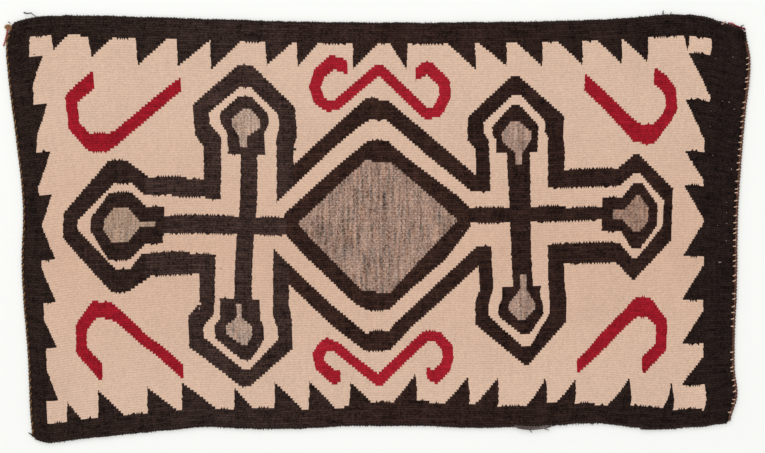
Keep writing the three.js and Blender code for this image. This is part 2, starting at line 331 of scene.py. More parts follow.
# A red stroke is a line of knots, each with half the stroke's height there in ribs. BRUSH is half
# its width in millimetres, and both its ends are cut off upright.
BRUSH = 9.6
BRUSH_STEP = 1.5
BRUSH_JOIN = 0.1
RIB_PITCH = 4.1
HOOKS = [
    [
        (-472, 58.2, 3.2), (-513, 50.4, 2.9), (-513, 39.7, 2.9), (-491, 33.2, 3.4), (-457, 33.2, 3.2),
        (-440, 35.6, 2.5), (-380, 46.8, 2.5), (-328, 56.6, 2.2),
    ],
    [
        (341, 58.2, 2.7), (383, 48.5, 3.0), (418, 39.9, 3.5), (434, 36.1, 4.0), (462, 35.5, 3.7),
        (482, 41.6, 2.3), (490, 45.6, 2.6), (486, 52.2, 2.7), (471, 56.6, 2.9), (456, 59.3, 3.0),
    ],
    [
        (-344, -60.8, 2.2), (-384, -51.3, 2.2), (-410, -46.3, 2.2), (-446, -37.4, 2.6),
        (-463, -34.2, 3.3), (-491, -33, 3.2), (-516, -39.6, 2.8), (-519, -48.6, 2.7), (-484, -58.7, 2.9),
    ],
    [
        (339, -59.8, 2.3), (362, -55.1, 2.4), (386, -49.1, 3.2), (422, -39.6, 2.9), (441, -34.8, 3.8),
        (463, -34.6, 3.8), (486, -40.7, 2.8), (485.5, -50.2, 2.8), (452, -58.6, 2.9),
    ],
]
CURLS = [
    [
        (-51, 64.2, 2.2), (-64, 66.4, 2.9), (-77, 66.7, 3.0), (-98, 62.4, 2.8), (-106, 56.5, 2.6),
        (-99, 51.3, 2.3), (-84, 48.7, 2.1), (-70, 49.4, 1.9), (1, 64.4, 2.1), (79, 45.8, 2.0),
        (94, 46.2, 2.3), (101, 48, 2.3), (110.5, 53.2, 2.6), (109, 58.3, 2.6), (84, 64.6, 2.7),
        (76, 64.4, 2.6), (61, 61.6, 2.0),
    ],
    [
        (-72, -63, 2.3), (-84, -62.9, 2.9), (-106, -58, 2.7), (-109.5, -53.8, 2.6), (-98, -49.5, 2.2),
        (-80, -49.9, 2.0), (-60, -54.3, 1.8), (-6, -65, 2.2), (77, -46.4, 2.1), (98, -46.2, 2.2),
        (115, -51, 2.6), (116, -55.1, 2.6), (111, -58.8, 2.7), (93, -62.9, 2.8), (78, -61.4, 2.1),
    ],
]


def head_outline(head):
    """The outline of a cross arm's head, whose neck widens to a shoulder and closes to a point."""
    stations = [
        (head.back, head.neck), (head.start, head.neck), (head.full, head.shoulder),
        (head.end, head.shoulder), (head.tip, head.point),
    ]
    round_it = [(s, sides[0]) for s, sides in stations] + [(s, sides[1]) for s, sides in stations[::-1]]
    if head.heading in ("left", "right"):
        return round_it
    return [(side, station) for station, side in round_it]


shapes = [("cream", TOP_BASE + RIGHT_BASE + BOTTOM_BASE[::-1] + LEFT_BASE[::-1])]
for rows, base_line, rim_row in (
    (TOP_TEETH, TOP_BASE, TOP_RIM_ROW), (BOTTOM_TEETH, BOTTOM_BASE, BOTTOM_RIM_ROW),
):
    for tooth in rows:
        base_row = min(base_line, key=lambda knot: abs(knot[0] - tooth.upright))[1]
        shapes.append(("border", [
            (tooth.upright, rim_row), (tooth.upright, base_row), (tooth.tip, tooth.tip_row),
            (tooth.slope, base_row), (tooth.slope, rim_row),
        ]))
for rows, rim_place in ((LEFT_TEETH, LEFT_RIM), (RIGHT_TEETH, RIGHT_RIM)):
    for tooth in rows:
        shapes.append(("border", [
            (rim_place, tooth.flat_row), (tooth.tip, tooth.flat_row), (tooth.base, tooth.slope_row),
            (rim_place, tooth.slope_row),
        ]))
for layer in LAYERS:
    shapes.append((layer.lozenge.yarn, layer.lozenge.over + layer.lozenge.under[::-1]))
    shapes += [(head.yarn, head_outline(head)) for head in layer.heads]
    for upright in layer.uprights:
        shapes.append((upright.yarn, [
            (upright.top[0], upright.top_row), (upright.top[1], upright.top_row),
            (upright.bottom[1], upright.bottom_row), (upright.bottom[0], upright.bottom_row),
        ]))
    for bar in layer.bars:
        shapes.append((bar.yarn, [
            (bar.start, bar.start_rows[0]), (bar.end, bar.end_rows[0]),
            (bar.end, bar.end_rows[1]), (bar.start, bar.start_rows[1]),
        ]))


def spans(corners, row):
    """The stretches of a rib that lie inside an outline."""
    cuts = []
    for (a, low), (b, high) in zip(corners, corners[1:] + corners[:1]):
        if (low <= row) != (high <= row):
            cuts.append(a + (b - a) * (row - low) / (high - low))
    cuts.sort()
    return list(zip(cuts[0::2], cuts[1::2]))


def brushed(stroke, row):
    """The stretches of a rib that a line worked in a thick curve covers."""
    found = []
    for i, ((a, low, thin), (b, high, thick)) in enumerate(zip(stroke, stroke[1:])):
        least, most = -PAST_RIM, PAST_RIM
        if i == 0:
            least, most = (a, PAST_RIM) if b > a else (-PAST_RIM, a)
        if i == len(stroke) - 2:
            least, most = (-PAST_RIM, b) if b > a else (b, PAST_RIM)
        steps = max(2, int(math.hypot(b - a, (high - low) * RIB_PITCH) / BRUSH_STEP))
        for step in range(steps + 1):
            t = step / steps
            middle = a + (b - a) * t
            away = (row - (low + (high - low) * t)) / (thin + (thick - thin) * t)
            if abs(away) < 1:
                half = BRUSH * math.sqrt(1 - away * away)
                start, end = max(middle - half, least), min(middle + half, most)
                if end > start:
                    found.append((start, end))
    found.sort()
    joined = []
    for start, end in found:
        if joined and start <= joined[-1][1] + BRUSH_JOIN:
            joined[-1][1] = max(joined[-1][1], end)
        else:
            joined.append([start, end])
    return joined


def laid(runs, start, end, yarn):
    """The runs of yarn along a rib after one more is laid over a stretch of it."""
    kept = []
    for a, b, name in runs:
        if b <= start or a >= end:
            kept.append((a, b, name))
            continue
        if a < start:
            kept.append((a, start, name))
        if b > end:
            kept.append((end, b, name))
    kept.append((start, end, yarn))
    return sorted(kept)


def row_of(rib):
    """The chart's row at the middle of a rib."""
    return (rib + 0.5 - WARPS / 2) * CHART_ACROSS / (WARPS / 2)


# Each colour change falls between two picks, a little off where the chart puts it.
PLACE_SLIP = 0.35
weaver = random.Random(1915)
rib_runs = []
for rib in range(WARPS):
    row = row_of(rib)
    runs = [(-PAST_RIM, PAST_RIM, "border")]
    for yarn, corners in shapes:
        for start, end in spans(corners, row):
            runs = laid(runs, start, end, yarn)
    for yarn, strokes in (("hook red", HOOKS), ("curl red", CURLS)):
        for stroke in strokes:
            for start, end in brushed(stroke, row):
                runs = laid(runs, start, end, yarn)
    beads = []
    for start, end, yarn in runs:
        if beads and beads[-1][1] == yarn:
            continue
        snapped = round((start + weaver.gauss(0, PLACE_SLIP)) * MM / HALF_BEAD) * HALF_BEAD
        beads.append((snapped, yarn))
    rib_runs.append(beads)


def linear(red, green, blue, alpha=1.0):
    """A colour given as on a screen, 0 to 255, in linear light."""
    shares = [channel / 255 for channel in (red, green, blue)]
    return tuple(s / 12.92 if s < 0.04045 else ((s + 0.055) / 1.055) ** 2.4 for s in shares) + (alpha,)


# Colours of the yarns, as seen, and how much each varies from pick to pick.
YARNS = {
    "cream": (221, 188, 165, 0.02),
    "hook red": (154, 24, 38, 0.19), "curl red": (163, 29, 43, 0.19),
    "left cross": (60, 44, 39, 0.5), "left tip": (49, 34, 29, 0.5),
    "diamond": (53, 34, 28, 0.5), "right cross": (48, 31, 26, 0.5),
    "left grey": (169, 142, 122, 0.26), "pale left grey": (179, 152, 135, 0.24),
    "right grey": (156, 125, 108, 0.30), "pale right grey": (163, 135, 120, 0.30),
    "middle grey": (157, 129, 114, 0.38),
}
# The border took several skeins of undyed dark wool, one after another along the rug. The tone
# eases from each to the next.
Skein = namedtuple("Skein", "middle colour")
BORDER_SKEINS = [
    Skein(-500, (42, 30, 26)), Skein(-250, (52, 39, 35)), Skein(30, (50, 33, 28)),
    Skein(330, (42, 29, 25)), Skein(590, (35, 25, 22)),
]
BORDER_VARIATION = 0.5
# Use has dulled the cream a little across the middle of the rug.
DULLED_ROW, DULLED_REACH, DULLED_BY = -10, 55, (4, 7, 8)


def yarn_colour(yarn, along, row):
    """The linear colour of a yarn at a place on the chart, with how much it varies."""
    if yarn == "border":
        i = 0
        while i < len(BORDER_SKEINS) - 2 and along > BORDER_SKEINS[i + 1].middle:
            i += 1
        left, right = BORDER_SKEINS[i], BORDER_SKEINS[i + 1]
        share = min(max((along - left.middle) / (right.middle - left.middle), 0), 1)
        mixed = [a * (1 - share) + b * share for a, b in zip(left.colour, right.colour)]
        return linear(*mixed, BORDER_VARIATION)
    *colour, variation = YARNS[yarn]
    if yarn == "cream":
        dulled = max(0, 1 - abs(row - DULLED_ROW) / DULLED_REACH)
        colour = [whole - dulled * less for whole, less in zip(colour, DULLED_BY)]
    return linear(*colour, variation)


# Wear takes most ribs a little lower, and each bead on them is a little higher or lower again.
RIB_WEAR = (-0.12, 0.08)
BEAD_WEAR = 0.06
panel_bm = bmesh.new()
bmesh.ops.create_grid(panel_bm, x_segments=COLUMNS, y_segments=WARPS, size=0.5)
upper = bmesh.ops.extrude_face_region(panel_bm, geom=panel_bm.faces[:], use_keep_orig=True)["geom"]
upper_verts = {item for item in upper if isinstance(item, bmesh.types.BMVert)}
bmesh.ops.translate(panel_bm, verts=list(upper_verts), vec=(0, 0, 1))
cut = [
    edge for edge in panel_bm.edges
    if all(v in upper_verts for v in edge.verts) and abs(edge.verts[0].co.x - edge.verts[1].co.x) < 1e-6
]
bmesh.ops.subdivide_edges(panel_bm, edges=cut, cuts=1)
bmesh.ops.recalc_face_normals(panel_bm, faces=panel_bm.faces[:])
weave_uv = panel_bm.loops.layers.uv.new("weave")
rib_wear = [weaver.uniform(*RIB_WEAR) * MM for _ in range(2 * WARPS + 1)]
for face in panel_bm.faces:
    for loop in face.loops:
        loop[weave_uv].uv = (
            loop.vert.co.x * 2 * CHART_ALONG * MM, (loop.vert.co.y + 0.5) * WARPS,
        )
for vert in panel_bm.verts:
    along = round((vert.co.x + 0.5) * COLUMNS) / COLUMNS
    half_row = round((vert.co.y + 0.5) * 2 * WARPS)
    place = crossing(along, half_row / (2 * WARPS)) + shift
    height = 0.0
    if vert.co.z > 0.5:
        height = (CREST if half_row % 2 else VALLEY) + rib_wear[half_row]
        height += weaver.uniform(-BEAD_WEAR, BEAD_WEAR) * MM
    vert.co = (place.x * MM, place.y * MM, height)
panel_mesh = bpy.data.meshes.new("woven_panel")
panel_bm.to_mesh(panel_mesh)
panel_bm.free()
panel = bpy.data.objects.new("woven_panel", panel_mesh)
scene.collection.objects.link(panel)

# Each facet holds the yarns on it, in their order along the rib, and the places where they change.
# A facet with fewer changes has one that lies beyond the rug.
NO_CHANGE = 9.0
BESIDE = (-9, -4, 4, 9)


def yarn_under(rib, place):
    """The yarn at a place on a rib."""
    return [yarn for start, yarn in rib_runs[rib] if start <= place][-1]


def shared_with(rib, start, end):
    """Which darker yarn bites into a cream rib along a level change, and from above or below."""
    middle = (start + end) / 2
    if yarn_under(rib, middle) != "cream":
        return None
    for side in (-1, 1):
        if not 0 <= rib + side < WARPS:
            continue
        beyond = {yarn_under(rib + side, middle + step * MM) for step in (0, *BESIDE)}
        beside = {yarn_under(rib, middle + step * MM) for step in BESIDE}
        if len(beyond) == 1 and "cream" not in beyond and beside == {"cream"}:
            return beyond.pop(), side
    return None


first_yarn, second_yarn, third_yarn, changes = [], [], [], []
uv_data = panel_mesh.uv_layers["weave"].data
for polygon in panel_mesh.polygons:
    corner_uvs = [uv_data[i].uv for i in polygon.loop_indices]
    start, end = min(uv.x for uv in corner_uvs), max(uv.x for uv in corner_uvs)
    middle_row = sum(uv.y for uv in corner_uvs) / len(corner_uvs)
    rib = min(max(int(middle_row), 0), WARPS - 1)
    row = row_of(rib)
    names = [yarn_under(rib, start)]
    breaks = []
    for place, yarn in rib_runs[rib]:
        if start < place < end:
            names.append(yarn)
            breaks.append(place)
    side = 0.0
    shared = shared_with(rib, start, end)
    if not breaks and shared:
        names.append(shared[0])
        side = shared[1]
    names = (names + [names[-1], names[-1]])[:3]
    breaks = (breaks + [NO_CHANGE, NO_CHANGE])[:2]
    middle = (start + end) / 2 / MM
    first_yarn += yarn_colour(names[0], middle, row)
    second_yarn += yarn_colour(names[1], middle, row)
    third_yarn += yarn_colour(names[2], middle, row)
    changes += [*breaks, side]
for name, kind, values, field in (
    ("first_yarn", "FLOAT_COLOR", first_yarn, "color"),
    ("second_yarn", "FLOAT_COLOR", second_yarn, "color"),
    ("third_yarn", "FLOAT_COLOR", third_yarn, "color"),
    ("changes", "FLOAT_VECTOR", changes, "vector"),
):
    panel_mesh.attributes.new(name, kind, "FACE").data.foreach_set(field, values)
panel_mesh.shade_smooth()

# The wool's finish follows the ribs and picks of the weave.
wool = bpy.data.materials.new("tapestry weave")
wool.use_nodes = True
tree = wool.node_tree
shader = tree.nodes["Principled BSDF"]


def add(tree, kind, *values, **settings):
    """A node with its settings, whose sockets in turn take a value or another node's output."""
    node = tree.nodes.new(kind)
    for name, setting in settings.items():
        setattr(node, name, setting)
    for socket, value in zip(node.inputs, values):
        if isinstance(value, bpy.types.NodeSocket):
            tree.links.new(value, socket)
        elif value is not None:
            socket.default_value = value
    return node


def maths(operation, a, b=0.0, c=None):
    return add(tree, "ShaderNodeMath", a, b, c, operation=operation).outputs[0]


def attribute(name):
    return add(tree, "ShaderNodeAttribute", attribute_name=name)


def blended(share, a, b, way="MIX"):
    return add(tree, "ShaderNodeMixRGB", share, a, b, blend_type=way).outputs[0]


weave_place = add(tree, "ShaderNodeUVMap", uv_map="weave").outputs["UV"]
weave_axes = add(tree, "ShaderNodeSeparateXYZ", weave_place)
along_warp, across_ribs = weave_axes.outputs[0], weave_axes.outputs[1]
rib_number = maths("FLOOR", across_ribs)
in_rib = maths("SUBTRACT", across_ribs, rib_number)
from_crest = maths("ABSOLUTE", maths("MULTIPLY_ADD", in_rib, 2.0, -1.0))
odd_rib = maths("FLOORED_MODULO", rib_number, 2.0)
pick = maths("ADD", maths("DIVIDE", along_warp, BEAD), maths("MULTIPLY", odd_rib, 0.5))
slanted = maths("ADD", pick, maths("MULTIPLY", in_rib, 0.35))
from_bead = maths("ABSOLUTE", maths("MULTIPLY_ADD", maths("FRACT", slanted), 2.0, -1.0))

# Which yarn shows: up to two colour changes on each short length of rib. Where a change of colour
# runs along the warps, picks of the darker yarn reach over the cream rib in small even teeth.
TOOTH_PICKS = 2.65
change_axes = add(tree, "ShaderNodeSeparateXYZ", attribute("changes").outputs["Vector"])
side = change_axes.outputs[2]
drift_place = maths("MULTIPLY_ADD", pick, 0.11, maths("MULTIPLY", rib_number, 3.7))
tooth_drift = add(
    tree, "ShaderNodeTexNoise", None, drift_place, 1.0, 0.0, noise_dimensions="1D",
).outputs[0]
tooth_place = maths("MULTIPLY_ADD", pick, 1 / TOOTH_PICKS, maths("MULTIPLY", tooth_drift, 2.5))
from_tooth = maths("ABSOLUTE", maths("MULTIPLY_ADD", maths("FRACT", tooth_place), 2.0, -1.0))
nearness = maths("MULTIPLY_ADD", maths("SUBTRACT", in_rib, 0.5), side, 0.5)
bitten = maths("MULTIPLY", maths("ABSOLUTE", side), maths("LESS_THAN", from_tooth, nearness))
past_first = maths("MAXIMUM", maths("GREATER_THAN", along_warp, change_axes.outputs[0]), bitten)
past_second = maths("GREATER_THAN", along_warp, change_axes.outputs[1])
first, second, third = attribute("first_yarn"), attribute("second_yarn"), attribute("third_yarn")
yarn_tone = blended(past_first, first.outputs["Color"], second.outputs["Color"])
yarn_tone = blended(past_second, yarn_tone, third.outputs["Color"])
variation = blended(past_first, first.outputs["Alpha"], second.outputs["Alpha"])
variation = blended(past_second, variation, third.outputs["Alpha"])

# Handspun yarn changes tone from pick to pick and over long lengths, and is flecked all through.
# Pale yarns change more from pick to pick and dark ones more from rib to rib. A redder pick is
# less green and blue.
PALE_FROM = 0.15
RED_GREEN_BLUE_LEAN = (0.5, -0.1, -0.5)
LEAST_TINT = 0.15


def noise(place, scale, detail, dimensions="2D"):
    return add(
        tree, "ShaderNodeTexNoise", place, None, scale, detail, noise_dimensions=dimensions,
    ).outputs[0]


def swing(value, amount):
    """A noise value as a change to either side of nothing."""
    return maths("MULTIPLY", maths("SUBTRACT", value, 0.5), amount)


def stretched(picks_by, ribs, ribs_by):
    """A place on the weave for noise that runs on longer one way than the other."""
    along = maths("MULTIPLY", pick, picks_by)
    return add(tree, "ShaderNodeCombineXYZ", along, maths("MULTIPLY", ribs, ribs_by)).outputs[0]


rug_place = add(tree, "ShaderNodeTexCoord").outputs["Object"]
by_pick = stretched(0.5, across_ribs, 0.07)
by_band = stretched(0.09, across_ribs, 0.02)
by_rib = stretched(0.055, rib_number, 0.73)
brightness = add(tree, "ShaderNodeRGBToBW", yarn_tone).outputs[0]
paler = maths("GREATER_THAN", brightness, PALE_FROM)
pick_change = swing(noise(by_pick, 1.0, 1.0), maths("MULTIPLY_ADD", paler, 3.0, 1.2))
band_change = swing(noise(by_band, 1.0, 1.0), 1.3)
rib_change = swing(noise(by_rib, 1.0, 1.0), maths("MULTIPLY_ADD", paler, -2.0, 2.8))
fleck_strength = maths("MULTIPLY_ADD", variation, 6.5, 0.45)
flecks = swing(noise(rug_place, 420.0, 2.0, "3D"), fleck_strength)
wear = swing(noise(rug_place, 9.0, 3.0, "3D"), 0.14)
changes_in_all = maths("ADD", maths("ADD", pick_change, band_change), rib_change)
rise = maths("ADD", maths("MULTIPLY_ADD", changes_in_all, variation, wear), flecks)
reddened = maths("MULTIPLY", paler, variation)
redness = maths("MULTIPLY", swing(noise(by_pick, 1.7, 1.0), 2.0), reddened)
# Painted shade: the colour is darkened towards the valley between ribs, more on dark yarns, and in the
# gaps between beads, where shade falls. The rest of each rib is lifted a little so that its mean tone
# holds.
valley_shade_depth = maths("MULTIPLY_ADD", variation, maths("MULTIPLY_ADD", paler, -0.7, 1.1), 0.17)
painted_valley_shade = maths("MULTIPLY", maths("POWER", from_crest, 2.2), valley_shade_depth)
painted_bead_gap_shade = maths("MULTIPLY", maths("POWER", from_bead, 4.0), 0.10)
full = maths("MULTIPLY_ADD", valley_shade_depth, 0.22, 1.0)
shade = maths("SUBTRACT", maths("SUBTRACT", full, painted_valley_shade), painted_bead_gap_shade)
tints = []
for lean in RED_GREEN_BLUE_LEAN:
    changed = maths("MULTIPLY_ADD", redness, lean, maths("ADD", rise, 1.0))
    tints.append(maths("MULTIPLY", shade, maths("MAXIMUM", changed, LEAST_TINT)))
tint = add(tree, "ShaderNodeCombineXYZ", *tints).outputs[0]
tree.links.new(blended(1.0, yarn_tone, tint, "MULTIPLY"), shader.inputs["Base Color"])

bead_height = maths("SUBTRACT", 1.0, maths("POWER", from_bead, 2.0))
fibre_height = noise(rug_place, 1500.0, 2.0, "3D")
relief = maths("ADD", maths("MULTIPLY", bead_height, 0.7), maths("MULTIPLY", fibre_height, 0.5))
bump = add(tree, "ShaderNodeBump")
bump.inputs["Strength"].default_value = 0.6
bump.inputs["Distance"].default_value = 0.35 * MM
tree.links.new(relief, bump.inputs["Height"])
tree.links.new(bump.outputs["Normal"], shader.inputs["Normal"])
shader.inputs["Roughness"].default_value = 0.95
shader.inputs["Specular IOR Level"].default_value = 0.08
shader.inputs["Sheen Weight"].default_value = 0.03
shader.inputs["Sheen Roughness"].default_value = 0.5
panel_mesh.materials.append(wool)
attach(panel, "root")
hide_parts("rug_panel")

# The side cords
# Along both long sides the weft turned back round a pair of dark cords twisted together, which
# stand proud of the weaving as a scalloped edge. They are wool, spun harder than the weft.
SIDE_CORD = 4.4
TUCK = 1.4
SIDE_TWIST = 9.5
STEPS_A_TURN = 9
LIFT = 0.7
SIDE_PLY, SIDE_REACH = 1.6, 0.95


def route_through(points):
    """The place and heading at each share of the way along a line of points, and its length."""
    lengths = [0.0]
    for a, b in zip(points, points[1:]):
        lengths.append(lengths[-1] + (b - a).length)

    def at(share):
        target = min(max(share, 0.0), 1.0) * lengths[-1]
        i = min(max(bisect.bisect_left(lengths, target) - 1, 0), len(points) - 2)
        t = (target - lengths[i]) / (lengths[i + 1] - lengths[i])
        return points[i].lerp(points[i + 1], t), (points[i + 1] - points[i]).normalized()
    return at, lengths[-1]


def eased_route(knots, steps):
    """A smooth line through a few points, as points closer together."""
    line = []
    for i in range(len(knots) - 1):
        before, after = knots[max(i - 1, 0)], knots[min(i + 2, len(knots) - 1)]
        a, b = knots[i], knots[i + 1]
        for step in range(steps):
            t = step / steps
            line.append(0.5 * (
                2 * a + (b - before) * t + (2 * before - 5 * a + 4 * b - after) * t * t
                + (3 * a - before - 3 * b + after) * t * t * t
            ))
    return line + [knots[-1].copy()]


def spun(bm, points, ply_radius, reach, twist, plies=2, sides=6, taper=1.0, finishes=None, lumps=0.0):
    """Plies of yarn twisted round one another along a line of points, each a rolled-up strip."""
    at, length = route_through(points)
    turns = length / twist
    steps = max(len(points) - 1 if len(points) < 40 else 4, round(turns * STEPS_A_TURN))
    for ply in range(plies):
        strip = bmesh.ops.create_grid(bm, x_segments=steps, y_segments=sides, size=0.5)["verts"]
        faces = {face for vert in strip for face in vert.link_faces}
        stations = {}
        for vert in strip:
            share = round((vert.co.x + 0.5) * steps) / steps
            around = math.tau * (vert.co.y + 0.5)
            if share not in stations:
                place, heading = at(share)
                aside = Vector((0, 0, 1)).cross(heading).normalized()
                size = 1 - (1 - taper) * share + weaver.uniform(-lumps, lumps)
                stations[share] = (place, aside, heading.cross(aside), size)
            place, aside, lift, size = stations[share]
            lay = math.tau * (turns * share + ply / plies)
            out = reach * math.cos(lay) + ply_radius * math.cos(around + lay)
            up = reach * math.sin(lay) + ply_radius * math.sin(around + lay)
            vert.co = (place + aside * out * size + lift * up * size) * MM
        bmesh.ops.remove_doubles(bm, verts=strip, dist=0.001 * MM)
        for face in faces:
            face.material_index = finishes[ply] if finishes else 0
        rims = [edge for edge in {e for f in faces for e in f.edges} if edge.is_boundary]
        for cap in bmesh.ops.holes_fill(bm, edges=rims, sides=0)["faces"]:
            cap.material_index = finishes[ply] if finishes else 0


def finished(name, bm, finishes, node=None):
    """A mesh as a piece of the rug, with its finishes, smooth all over."""
    bmesh.ops.recalc_face_normals(bm, faces=bm.faces[:])
    mesh = bpy.data.meshes.new(name)
    bm.to_mesh(mesh)
    bm.free()
    mesh.shade_smooth()
    for finish in finishes:
        mesh.materials.append(finish)
    piece = bpy.data.objects.new(name, mesh)
    scene.collection.objects.link(piece)
    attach(piece, "root")
    if node:
        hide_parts(node)
    return piece


def yarn_finish(name, colour, other, grain=0.35):
    """Spun wool of one colour, flecked with another, with its fibres raised."""
    finish = bpy.data.materials.new(name)
    finish.use_nodes = True
    nodes = finish.node_tree
    wool_shader = nodes.nodes["Principled BSDF"]
    place = add(nodes, "ShaderNodeTexCoord").outputs["Object"]
    fibre = add(nodes, "ShaderNodeTexNoise", place, None, 900.0, 3.0).outputs[0]
    length = add(nodes, "ShaderNodeTexNoise", place, None, 70.0, 2.0).outputs[0]
    both = add(nodes, "ShaderNodeMath", fibre, length, operation="ADD").outputs[0]
    share = add(nodes, "ShaderNodeMapRange", both, 0.7, 1.3, 0.0, 1.0).outputs[0]
    colours = add(nodes, "ShaderNodeMixRGB", share, linear(*colour), linear(*other)).outputs[0]
    nodes.links.new(colours, wool_shader.inputs["Base Color"])
    raised = add(nodes, "ShaderNodeBump")
    raised.inputs["Strength"].default_value = grain
    raised.inputs["Distance"].default_value = 0.3 * MM
    nodes.links.new(fibre, raised.inputs["Height"])
    nodes.links.new(raised.outputs["Normal"], wool_shader.inputs["Normal"])
    wool_shader.inputs["Roughness"].default_value = 0.95
    wool_shader.inputs["Specular IOR Level"].default_value = 0.08
    wool_shader.inputs["Sheen Weight"].default_value = 0.05
    return finish


def edge_route(edge, diameter, start_gap, end_gap, waver=0.0, samples=420):
    """The middle line of a cord that runs outside an edge, short of both its corners."""
    edge_points = [edge(i / samples) + shift for i in range(samples + 1)]
    lengths = [0.0]
    for a, b in zip(edge_points, edge_points[1:]):
        lengths.append(lengths[-1] + (b - a).length)
    line = []
    drift = 0.0
    for i, point in enumerate(edge_points):
        if not start_gap <= lengths[i] <= lengths[-1] - end_gap:
            continue
        heading = (edge_points[min(i + 1, samples)] - edge_points[max(i - 1, 0)]).normalized()
        drift = drift * 0.8 + weaver.uniform(-waver, waver)
        out = diameter / 2 - TUCK + drift
        line.append(Vector((point.x + heading.y * out, point.y - heading.x * out, diameter / 2 + LIFT)))
    return line


dark_ply = yarn_finish("dark side cord", (46, 34, 30), (62, 47, 42))
black_ply = yarn_finish("black side cord", (34, 25, 23), (50, 37, 32))
SideCord = namedtuple("SideCord", "name node edge start_gap end_gap")
for cord in (
    SideCord("side_cords_far", "side_cord_top", lambda t: crossing(1 - t, 1), 1.0, 1.5),
    SideCord("side_cords_near", "side_cord_bottom", lambda t: crossing(t, 0), 0.5, 0.5),
):
    cord_bm = bmesh.new()
    middle_line = edge_route(cord.edge, SIDE_CORD, cord.start_gap, cord.end_gap, waver=0.5)
    spun(cord_bm, middle_line, SIDE_PLY, SIDE_REACH, SIDE_TWIST, finishes=(0, 1), lumps=0.13)
    finished(cord.name, cord_bm, [dark_ply, black_ply], cord.node)

# The end cords
# Where the warps turn back, each end is bound to a twisted cord: thin and golden brown at the left,
# thicker and red-brown at the right, where pale stitches lash it to the weaving every centimetre
# or so. Above WOUND_FROM the right cord is wound round in black.
LEFT_END_CORD = 4.5
RIGHT_END_CORD = 5.5
STITCH_SPACING = 11.0
STITCH_SLIP = 2.8
STITCHES_LOST = 0.08
UNTWISTED = 40.0
WOUND_FROM = 311
gold_ply = yarn_finish("golden brown end cord", (152, 114, 74), (112, 80, 50))
umber_ply = yarn_finish("dark brown end cord", (52, 36, 28), (66, 46, 34))
left_bm = bmesh.new()
left_route = edge_route(lambda t: crossing(0, 1 - t), LEFT_END_CORD, 6, 0.5, waver=0.12)
spun(left_bm, left_route, 1.35, 0.95, 12.0, finishes=(0, 1), lumps=0.10)
finished("left_end_cord", left_bm, [gold_ply, umber_ply], "end_cord_left")

mauve_ply = yarn_finish("red-brown end cord", (128, 90, 78), (96, 62, 52))
tan_ply = yarn_finish("tan end cord", (118, 84, 62), (70, 44, 34))
stitch_yarn = yarn_finish("pale lashing", (228, 194, 170), (206, 168, 142))
right_bm = bmesh.new()
right_route = edge_route(lambda t: crossing(1, t), RIGHT_END_CORD, 0.5, 2.5, waver=0.15)
spun(right_bm, right_route, 1.6, 1.2, 10.5, finishes=(0, 1), lumps=0.08)
for face in right_bm.faces:
    if face.calc_center_median().y > WOUND_FROM * MM:
        face.material_index = 3
at_cord, cord_length = route_through(right_route)
for stitch in range(int(cord_length / STITCH_SPACING) - 4):
    share = ((stitch + 1.5) * STITCH_SPACING + weaver.uniform(-STITCH_SLIP, STITCH_SLIP)) / cord_length
    if weaver.random() < STITCHES_LOST:
        continue
    place, heading = at_cord(share)
    inward = Vector((-heading.y, heading.x, 0))
    middle = Vector((place.x, place.y, 0))
    lean = weaver.uniform(0.3, 1.5)
    stitch_line = eased_route([
        middle + inward * 4.6 - heading * lean + Vector((0, 0, 3.5)),
        middle + inward * 3.4 - heading * lean * 0.6 + Vector((0, 0, 4.9)),
        middle + inward * 1.6 + Vector((0, 0, 5.6)),
        middle + inward * 0.2 + heading * lean * 0.6 + Vector((0, 0, 5.2)),
    ], 3)
    spun(right_bm, stitch_line, 0.92, 0.0, UNTWISTED, plies=1, sides=6, finishes=(2,), lumps=0.15)
right_finishes = [mauve_ply, tan_ply, stitch_yarn, black_ply]
finished("right_end_cord", right_bm, right_finishes, "end_cord_right")

# The corner ties
# At the two far corners the cords were knotted off with oddments of yarn: a tan knot with a faded
# red end at the left, and a red and pink end laid beside the edge at the right.
left_corner = crossing(0, 1) + shift
right_corner = crossing(1, 1) + shift
knot_tan = yarn_finish("tan tie yarn", (176, 134, 84), (138, 98, 58))
faded_red = yarn_finish("faded red tie yarn", (186, 104, 92), (150, 66, 62))


def from_corner(corner, rows):
    return [Vector((corner.x + dx, corner.y + dy, height)) for dx, dy, height in rows]


KNOT_TURNS = 2.3
KNOT_STEPS = 27
tie_bm = bmesh.new()
knot_line = []
for step in range(KNOT_STEPS + 1):
    angle = step / KNOT_STEPS * math.tau * KNOT_TURNS + 0.6
    knot_line.append(Vector((
        left_corner.x - 6.6 + 4.6 * math.cos(angle), left_corner.y - 4.6 + 2.6 * math.sin(angle),
        1.9 + 2.2 * step / KNOT_STEPS,
    )))
spun(tie_bm, knot_line, 1.2, 0.75, 6.0, finishes=(0, 0))
spun(tie_bm, eased_route(from_corner(left_corner, [
    (-4.0, -5.0, 3.6), (-7.0, -7.5, 3.0), (-8.0, -13.0, 2.2), (-9.6, -20.0, 1.9),
    (-11.4, -27.5, 1.8), (-14.4, -36.5, 1.7),
]), 6), 1.2, 0.8, 7.0, taper=0.75, finishes=(1, 1))
finished("left_corner_tie", tie_bm, [knot_tan, faded_red], "corner_tie_top_left")

